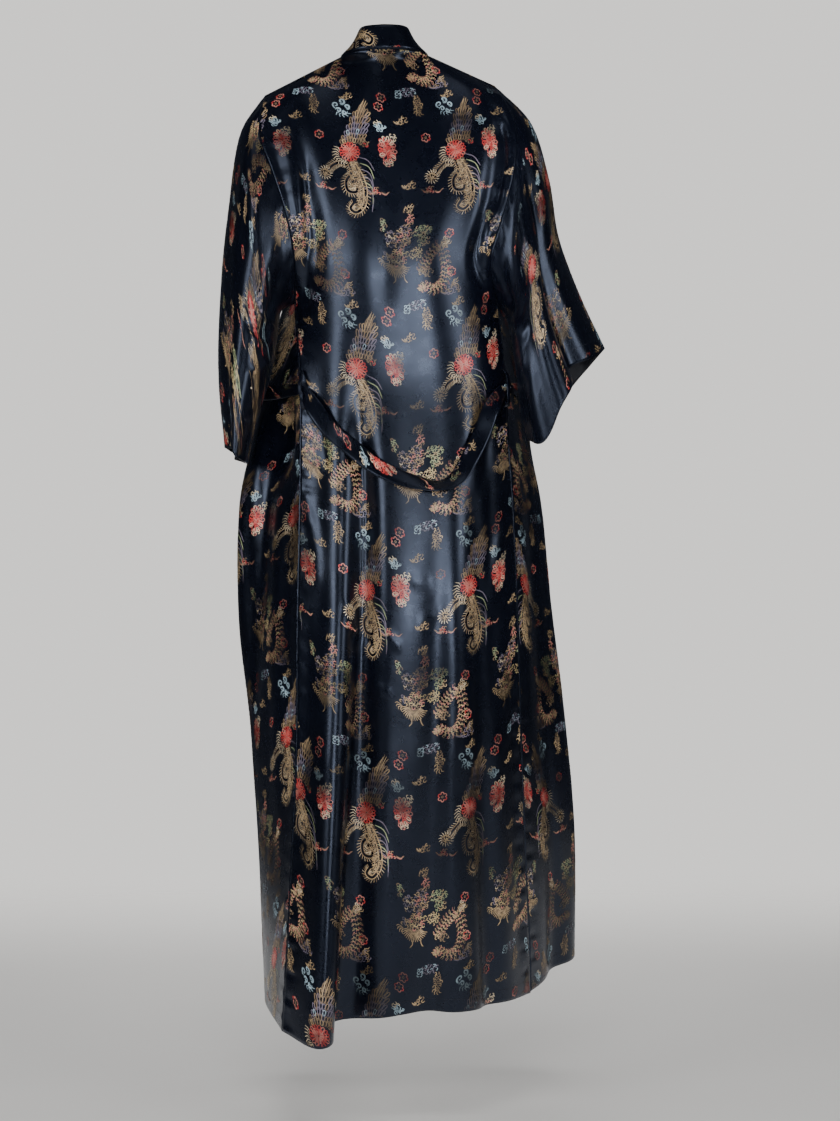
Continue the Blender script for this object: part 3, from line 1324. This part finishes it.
def dragon():
    """A coiled dragon: scales and barbs, a maned head under tufts of cloud, whiskers and claws."""
    strokes = tufts(DRAGON_TUFTS)
    spine = bend(DRAGON_NECK + DRAGON_COIL, 58)
    out = side_steps(spine)
    share = np.linspace(0, 1, len(spine))
    half = 5.6 * np.sqrt(np.clip(np.minimum(share * 6 + 0.5, (1 - share) * 3 + 0.15), 0, 1))
    for k in range(1, len(spine) - 1):
        step = spine[k] - spine[k - 1]
        turn = math.degrees(math.atan2(step[1], step[0]))
        for off in (-0.66, 0, 0.66):
            x, y = spine[k] + out[k] * half[k] * off + step * 0.5 * (off == 0)
            thread = ("gold", "brown", "antique", "pink", "brown")[(k + int(3 * off)) % 5]
            strokes.append((thread, worm(x, y, 1.75, turn + 70 * (-1) ** k, 190, 6)))
        for side in (1, -1):
            root = spine[k] + out[k] * half[k] * side
            tip = root + out[k] * side * (3.4 if side > 0 else 2.4) + step * (1.3 if k % 2 else 0.4)
            strokes.append((("brown", "gold", "pink")[k % 3], np.array([root, tip])))
    strokes += fan(-33, -8, 20, 25, 165, 17, "gold", 0.35, 0.08)
    strokes += fan(-33, -8, 15, 30, 160, 13, "brown", 0.3, -0.1)
    for x in (-38, -25):
        whisker = [(x, 8), (x + 1, 15), (x + (4 if x > -30 else -3), 20)]
        strokes.append(("gold", bend(whisker, 7)))
    strokes += fan(2, 84, 9, 40, 150, 4, "gold", 0.2, 0.3)
    for x, y, turn in ((36, -20, -75), (-50, -8, 130), (44, 30, 20)):
        strokes += fan(x, y, 10, turn - 40, turn + 40, 4, "gold", 0.15, 0.25)
    return strokes


FIGURES = {
    "dragon": dragon(),
    "phoenix": phoenix(),
    "peony": peony(),
    "curl_cloud": curl_cloud("pale", "pale"),
    "mauve_cloud": flat_cloud("mauve", "brown"),
    "small_cloud": flat_cloud("brown", "gold", 0.62),
    "bat_cloud": bat_cloud(),
    "rosette": rosette(),
}

# One repeat of the brocade, 152 mm across and 310 mm down: each figure's place from the flower's middle.
REPEAT_ACROSS, REPEAT_DOWN = 152, 310
REPEAT = table(
    "figure u v turn",
    [
        ["peony", 0, 0, 0],
        ["phoenix", -54, 8, -3],
        ["dragon", 50, 168, 0],
        ["curl_cloud", -61, -63, 8],
        ["mauve_cloud", -60, -99, -6],
        ["small_cloud", 24, -46, -10],
        ["small_cloud", 30, 50, 6],
        ["small_cloud", -52, 228, -12],
        ["bat_cloud", 62, 62, 8],
        ["bat_cloud", -14, 64, -10],
        ["rosette", 0, -79, 0],
        ["rosette", 56, -16, 12],
        ["rosette", -62, 131, 0],
        ["rosette", -58, 186, 25],
        ["rosette", -6, 246, 8],
    ],
)


# How a flat place is found on a surface: the steps taken, the most cells in one, and the miss allowed.
FIND_STEPS = 9
FIND_STRIDE = 12
FIND_MISS = 0.3


class Cloth:
    """A surface and its flat coordinates, with the way back from flat places to the surface."""

    def __init__(self, grid, gridN, flat, lift, closed=False):
        if closed:  # cut along the line under the arm, so that u runs from one side of it to the other
            half = grid.shape[1] // 2
            grid, gridN, flat = (np.roll(part, half, axis=1) for part in (grid, gridN, flat))
        self.flat = flat
        self.surface = np.concatenate([grid + gridN * lift, gridN], axis=-1)
        self.slope_j, self.slope_i = np.gradient(flat, axis=(0, 1))
        self.rows, self.columns = flat.shape[:2]
        self.middle = self.columns // 2

    def find(self, wanted):
        """Lines and columns of flat places, and which of them lie on the cloth."""
        sign = 1 if self.flat[0, -1, 0] > self.flat[0, 0, 0] else -1
        column = self.flat[:, self.middle, 1]
        j = np.interp(wanted[:, 1], column, np.arange(self.rows))
        line = self.flat[self.rows // 2, :, 0]
        order = slice(None, None, sign)
        i = np.interp(wanted[:, 0], line[order], np.arange(self.columns)[order])
        for _ in range(FIND_STEPS):
            miss = wanted - sample(self.flat, j, i)
            dj, di = sample(self.slope_j, j, i), sample(self.slope_i, j, i)
            det = dj[:, 0] * di[:, 1] - dj[:, 1] * di[:, 0]
            det = np.where(np.abs(det) < 1e-6, 1e-6, det)
            step_j = (miss[:, 0] * di[:, 1] - miss[:, 1] * di[:, 0]) / det
            step_i = (dj[:, 0] * miss[:, 1] - dj[:, 1] * miss[:, 0]) / det
            j = np.clip(j + np.clip(step_j, -FIND_STRIDE, FIND_STRIDE), 0, self.rows - 1.001)
            i = np.clip(i + np.clip(step_i, -FIND_STRIDE, FIND_STRIDE), 0, self.columns - 1.001)
        miss = np.linalg.norm(wanted - sample(self.flat, j, i), axis=1)
        return j, i, miss < FIND_MISS

    def points(self, j, i):
        return sample(self.surface, j, i)[:, :3]

    def bounds(self):
        flat = self.flat.reshape(-1, 2)
        return flat.min(axis=0), flat.max(axis=0)


def ribbons(strokes):
    """Flat points two by two along each stroke, with the quads between them and their threads."""
    places, quads, threads = [], [], []
    count = 0
    for thread, line in strokes:
        out = side_steps(line)
        taper = np.full(len(line), THREAD)
        taper[0] *= 0.5
        taper[-1] *= 0.5
        step = out * taper[:, None]
        places.append(np.stack([line + step, line - step], axis=1).reshape(-1, 2))
        k = count + 2 * np.arange(len(line) - 1)
        quads.append(np.column_stack([k, k + 1, k + 3, k + 2]))
        threads.append(np.full(len(line) - 1, THREAD_INDEX[thread]))
        count += 2 * len(line)
    return np.vstack(places), np.vstack(quads), np.concatenate(threads)


FIGURE_RIBBONS = {name: ribbons(strokes) for name, strokes in FIGURES.items()}


FIGURE_ACROSS, FIGURE_DOWN = 90, 110  # how far a figure can reach from its middle


def place_figures(cloth, start):
    """Where the figures of every repeat fall on a cloth, from the first flower at start."""
    (u0, v0), (u1, v1) = cloth.bounds()
    placed = []
    first = int((u0 - start[0]) // REPEAT_ACROSS) - 1
    last = int((u1 - start[0]) // REPEAT_ACROSS) + 2
    top = int((v0 - start[1]) // REPEAT_DOWN) - 1
    bottom = int((v1 - start[1]) // REPEAT_DOWN) + 2
    for a in range(first, last):
        for b in range(top, bottom):
            for row in REPEAT:
                u = start[0] + a * REPEAT_ACROSS + row["u"]
                v = start[1] + b * REPEAT_DOWN + row["v"]
                across = u0 - FIGURE_ACROSS < u < u1 + FIGURE_ACROSS
                if across and v0 - FIGURE_DOWN < v < v1 + FIGURE_DOWN:
                    placed.append((row["figure"], u, v, row["turn"]))
    return placed


def brocade(name, cloth, placed, edge):
    """One object of all the threads on a piece. Strokes are cut where they leave the cloth."""
    places, quads, threads = [], [], []
    count = 0
    for figure, u, v, turn in placed:
        flat, faces, colours = FIGURE_RIBBONS[figure]
        angle = math.radians(turn)
        spin = np.array([[math.cos(angle), math.sin(angle)], [-math.sin(angle), math.cos(angle)]])
        places.append(flat @ spin + (u, v))
        quads.append(faces + count)
        threads.append(colours)
        count += len(flat)
    places, quads, threads = np.vstack(places), np.vstack(quads), np.concatenate(threads)
    low, high = cloth.bounds()
    near = np.all((places > low - 5) & (places < high + 5), axis=1)
    keep = near[quads].all(axis=1)
    quads, threads = quads[keep], threads[keep]
    used, quads = np.unique(quads, return_inverse=True)
    quads = quads.reshape(-1, 4)
    j, i, on_cloth = cloth.find(places[used])
    on_cloth &= (j > edge) & (j < cloth.rows - 1 - edge) & (i > edge) & (i < cloth.columns - 1 - edge)
    keep = on_cloth[quads].all(axis=1)
    quads, threads = quads[keep], threads[keep]
    points = cloth.points(j, i)
    used, quads = np.unique(quads, return_inverse=True)
    points, quads = points[used], quads.reshape(-1, 4)
    return finish_threads(name, points, quads, threads, cloth, j[used], i[used])


def finish_threads(name, points, quads, threads, cloth, j, i):
    """Turns each thread's face out of the cloth, and makes the object."""
    outward = sample(cloth.surface, j, i)[:, 3:]
    a, b, c = points[quads[:, 0]], points[quads[:, 1]], points[quads[:, 2]]
    facing = np.sum(np.cross(b - a, c - a) * outward[quads[:, 0]], axis=1)
    quads = np.where((facing < 0)[:, None], quads[:, ::-1], quads)
    return make_mesh(name, points, quads, thread_materials, threads)


# The first flower on each piece: (u, v) in its flat coordinates.
FIRST_FLOWER = {
    "back": (-16, 152),
    "front_left": (-62, 96),
    "front_right": (40, 190),
    "sleeve_left": (54, 232),
    "sleeve_right": (-70, 196),
    "neckband": (60, 120),
    "belt": (8, 40),
}
LIFT = CLOTH / 2 + THREAD_LIFT
threads_on = {}
cloths = {}


def weave(node, edge, *surface, closed=False):
    """Fills a piece with figures from its first flower, to a share of a cell from its edges."""
    cloths[node] = Cloth(*surface, closed=closed)
    placed = place_figures(cloths[node], FIRST_FLOWER[node])
    threads_on[node] = brocade(f"brocade_{node}", cloths[node], placed, edge)


for panel, node in PANEL_NODES.items():
    weave(node, 0.4, body[panel], normals[panel], flats[panel], LIFT)
for side in SIDES:
    weave(f"sleeve_{side}", 0.6, sleeves[side], sleeve_normals[side], sleeve_flats[side], LIFT, closed=True)
band_lift = BAND_THICKNESS / 2 * BAND_PROFILE + THREAD_LIFT
weave("neckband", 0.3, band, band_normals, band_flat, band_lift[None, :, None])
belt_lift = BELT_THICKNESS / 2 * BELT_PROFILE + THREAD_LIFT
weave("belt", 0.3, belt, belt_normals, belt_flat, belt_lift[None, :, None])

# ---- Stitching: short stitches in rows, as small quads of thread ----
STITCH_LENGTH = 2.6
STITCH_PITCH = 3.6
STITCH_HALF = 0.28  # half the width of its thread
EDGE_FOLD = 2.5  # from a front's free edge to its stitches
HEM_FOLD = 18  # from the edge to the row of stitches that holds the hem
CUFF_FOLD = 22


def stitch_row(cloth, line):
    """Stitches along a flat line: their points on the cloth and their quads."""
    steps = np.linalg.norm(np.diff(line, axis=0), axis=1)
    length = np.concatenate([[0], np.cumsum(steps)])
    starts = np.arange(2, length[-1] - STITCH_LENGTH, STITCH_PITCH)
    ends = starts + STITCH_LENGTH
    a = np.column_stack([np.interp(starts, length, line[:, k]) for k in (0, 1)])
    b = np.column_stack([np.interp(ends, length, line[:, k]) for k in (0, 1)])
    way = (b - a) / np.maximum(np.linalg.norm(b - a, axis=1, keepdims=True), 1e-9)
    out = np.column_stack([way[:, 1], -way[:, 0]]) * STITCH_HALF
    corners = np.stack([a + out, b + out, b - out, a - out], axis=1).reshape(-1, 2)
    j, i, ok = cloth.find(corners)
    quads = np.arange(len(corners)).reshape(-1, 4)
    quads = quads[ok[quads].all(axis=1)]
    return cloth.points(j, i), quads


def stitches(name, rows):
    points, quads, count = [], [], 0
    for cloth, line in rows:
        p, q = stitch_row(cloth, line)
        points.append(p)
        quads.append(q + count)
        count += len(p)
    return make_mesh(name, np.vstack(points), np.vstack(quads), [stitch_thread])


def inset_line(cloth, edge, inset):
    """A flat line that runs a distance inside one edge: bottom, first or last column."""
    if edge == "bottom":
        return cloth.flat[-1] - (0, inset)
    column = 0 if edge == "first" else -1
    sign = np.sign(cloth.flat[0, -1, 0] - cloth.flat[0, 0, 0]) * (1 if edge == "first" else -1)
    return cloth.flat[:, column] + (sign * inset, 0)


hem_rows = {}
for node in PANEL_NODES.values():
    hem_rows[node] = [(cloths[node], inset_line(cloths[node], "bottom", HEM_FOLD))]
for side in SIDES:
    node = f"front_{side}"
    hem_rows[node].append((cloths[node], inset_line(cloths[node], "first", EDGE_FOLD)))
    node = f"sleeve_{side}"
    hem_rows[node] = [(cloths[node], inset_line(cloths[node], "bottom", CUFF_FOLD))]
sewing = {node: stitches(f"stitches_{node}", rows) for node, rows in hem_rows.items()}

# ---- Declarations ----
SHEETS = table(
    "node width length share held rests_on",
    [
        ["back", 0.55, 1.39, 0.69, "hung", ["sleeve_left", "sleeve_right", "neckband"]],
        ["front_left", 0.42, 1.39, 0.69, "hung", ["neckband", "back"]],
        ["front_right", 0.36, 1.37, 0.74, "hung", ["neckband", "back"]],
        ["sleeve_left", 0.71, 0.48, 0.44, "hung", ["back", "front_left"]],
        ["sleeve_right", 0.74, 0.38, 0.51, "hung", ["back", "front_right"]],
        ["neckband", 0.046, 2.92, 1.0, "folded", ["back", "front_left", "front_right"]],
        ["belt", 0.025, 1.99, 1.0, "folded", ["belt_loop_left", "belt_loop_right"]],
    ],
)
for node, piece in pieces.items():
    on_it = [group[node] for group in (threads_on, sewing) if node in group]
    for part in [piece, *on_it]:
        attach(part, "root")
    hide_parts(node)
for row in SHEETS:
    node = row["node"]
    on_it = [group[node] for group in (threads_on, sewing) if node in group]

# ---- Floor, lights and camera ----
FLOOR_Z = -1.50
FLOOR_SIZE = 9.0
FLOOR_CLEAR = 1.3  # how far from the robe the floor starts to fade into the backdrop's tone
FLOOR_GONE = 2.9
PALE = (0.74, 0.725, 0.70)
BACKDROP_STRENGTH = 1.45  # as the camera sees it
ROOM_LIGHT = (0.75, 0.82, 1.0)
ROOM_STRENGTH = 0.035  # as it lights the robe


def make_floor():
    """A pale floor that fades out all round into the plain backdrop."""
    bpy.ops.mesh.primitive_plane_add(size=FLOOR_SIZE, location=(0, 0, FLOOR_Z))
    floor = bpy.context.object
    floor.name = "floor"
    paint = new_material("floor_paint", PALE, 0.8, Specular_IOR_Level=0.2)
    colour_noise(paint, ((0.725, 0.71, 0.685), (0.75, 0.735, 0.71)), 1.5)
    where = add_node(paint, "ShaderNodeTexCoord")
    reach = add_node(paint, "ShaderNodeVectorMath", operation="LENGTH")
    ends = {"From_Min": FLOOR_CLEAR, "From_Max": FLOOR_GONE, "To_Min": 1.0, "To_Max": 0.0}
    fade = add_node(paint, "ShaderNodeMapRange", interpolation_type="SMOOTHSTEP", **ends)
    link(paint, where, "Object", reach, "Vector")
    link(paint, reach, "Value", fade, "Value")
    link(paint, fade, "Result", paint.node_tree.nodes["Principled BSDF"], "Alpha")
    floor.data.materials.append(paint)


LIGHTS = table(
    "name x y z wide high watts aim_z spread gloss",
    [
        ["back_sheen", -0.1, 3.7, -0.45, 1.8, 1.0, 1.6, -0.52, 24, True],
        ["softbox_left", 2.4, 2.4, 0.2, 1.2, 1.2, 12, -0.5, 120, True],
        ["softbox_right", -2.5, 2.2, 0.2, 1.2, 1.2, 10, -0.5, 120, True],
        ["thread_fill", 0.0, 3.6, 0.1, 2.2, 2.2, 108, -0.7, 180, False],
        ["front_sheen", 0.2, -3.4, -0.4, 1.4, 1.6, 7, -0.6, 120, True],
        ["front_fill", 0.0, -3.4, 0.1, 2.0, 2.0, 80, -0.7, 180, False],
        ["floor_fill", 0.0, 0.0, 2.8, 2.4, 2.4, 44, -1.5, 180, False],
        ["top", 0.0, 0.9, 2.2, 1.4, 1.4, 4, -0.5, 180, True],
    ],
)


def make_lights():
    """Soft boxes, and fills that light the threads without a reflection in the satin."""
    for row in LIGHTS:
        light = bpy.data.lights.new(row["name"], "AREA")
        light.shape = "RECTANGLE"
        light.size, light.size_y = row["wide"], row["high"]
        light.energy = row["watts"]
        light.spread = math.radians(row["spread"])
        lamp = bpy.data.objects.new(row["name"], light)
        lamp.visible_glossy = row["gloss"]
        lamp.location = (row["x"], row["y"], row["z"])
        aim = Vector((0, 0, row["aim_z"])) - lamp.location
        lamp.rotation_euler = aim.to_track_quat("-Z", "Y").to_euler()
        bpy.context.collection.objects.link(lamp)
    world = bpy.data.worlds.new("studio")
    bpy.context.scene.world = world
    world.use_nodes = True
    tree = world.node_tree
    backdrop = tree.nodes["Background"]
    backdrop.inputs["Color"].default_value = (*PALE, 1)
    backdrop.inputs["Strength"].default_value = BACKDROP_STRENGTH
    dim = tree.nodes.new("ShaderNodeBackground")
    dim.inputs["Color"].default_value = (*ROOM_LIGHT, 1)
    dim.inputs["Strength"].default_value = ROOM_STRENGTH
    rays = tree.nodes.new("ShaderNodeLightPath")
    mix = tree.nodes.new("ShaderNodeMixShader")
    tree.links.new(rays.outputs["Is Camera Ray"], mix.inputs["Fac"])
    tree.links.new(dim.outputs["Background"], mix.inputs[1])
    tree.links.new(backdrop.outputs["Background"], mix.inputs[2])
    tree.links.new(mix.outputs["Shader"], tree.nodes["World Output"].inputs["Surface"])


CAMERA_LENS = 79.6
CAMERA_PLACE = (-0.051, 3.560, -0.721)


def make_camera():
    """The photograph's own view: level, from straight behind, a full figure's distance away."""
    camera = bpy.data.cameras.new("camera")
    camera.sensor_width = 36
    camera.lens = CAMERA_LENS
    stand = bpy.data.objects.new("camera", camera)
    stand.location = CAMERA_PLACE
    stand.rotation_euler = (math.radians(90), 0, math.radians(180))
    bpy.context.collection.objects.link(stand)
    bpy.context.scene.camera = stand


make_floor()
make_lights()
make_camera()
